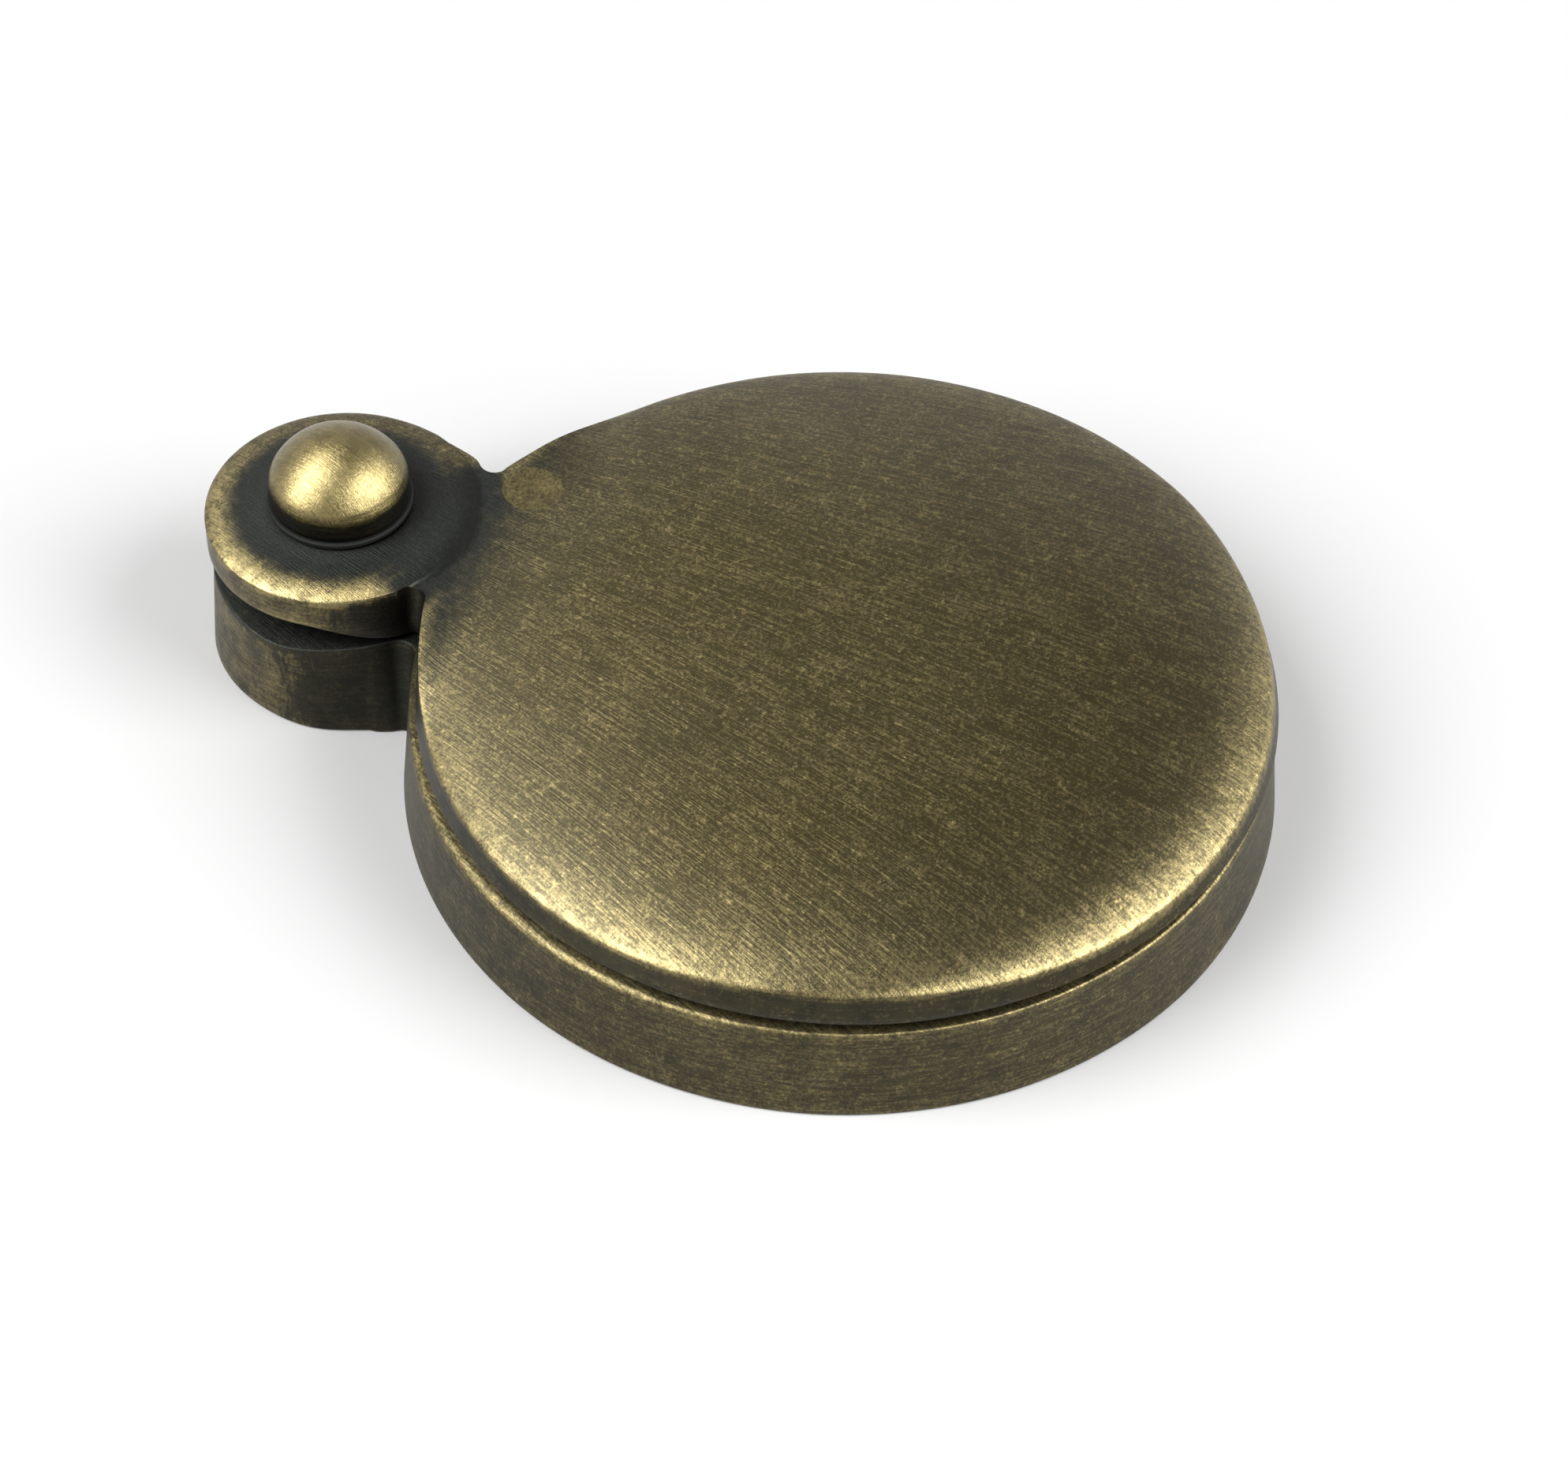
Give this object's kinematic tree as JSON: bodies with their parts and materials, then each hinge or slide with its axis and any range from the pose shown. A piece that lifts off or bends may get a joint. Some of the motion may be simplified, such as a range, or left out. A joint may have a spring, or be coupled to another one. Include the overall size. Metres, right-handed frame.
{
  "type": "covered keyhole escutcheon",
  "caption": "Round brass keyhole plate with a small pivot lobe and a pillowed swing cover of the same outline that turns sideways on a domed rivet.",
  "frame": {"origin": "middle of the plate's disc on its back face, centred between the two fixing holes", "axes": "+Z out of the front face, +Y from the disc to the pivot lobe (up on the door), +X to the right seen from the front"},
  "size_m": [0.034, 0.0434, 0.0103],
  "materials": {
    "cover_brass": "chemically aged, hand-brushed, waxed",
    "plate_brass": "chemically aged, brushed on the rim, dark in the recesses",
    "rivet_brass": "aged and rubbed bright on the dome",
    "pin_brass": "riveted flush and brushed with the cover",
    "washer_brass": "dark aged"
  },
  "bodies": {
    "plate": {"base_plate": "plate_brass", "pivot_rivet": "rivet_brass", "head_washer": "washer_brass", "thrust_washer": "washer_brass"},
    "cover": {"swing_cover": "cover_brass", "stop_pin": "pin_brass"}
  },
  "joints": [
    {"name": "cover_swing", "type": "hinge", "parent": "plate", "child": "cover", "pos_m": [0, 0.0209, 0], "axis": [0, 0, 1], "range_deg": [0, 275]}
  ]
}
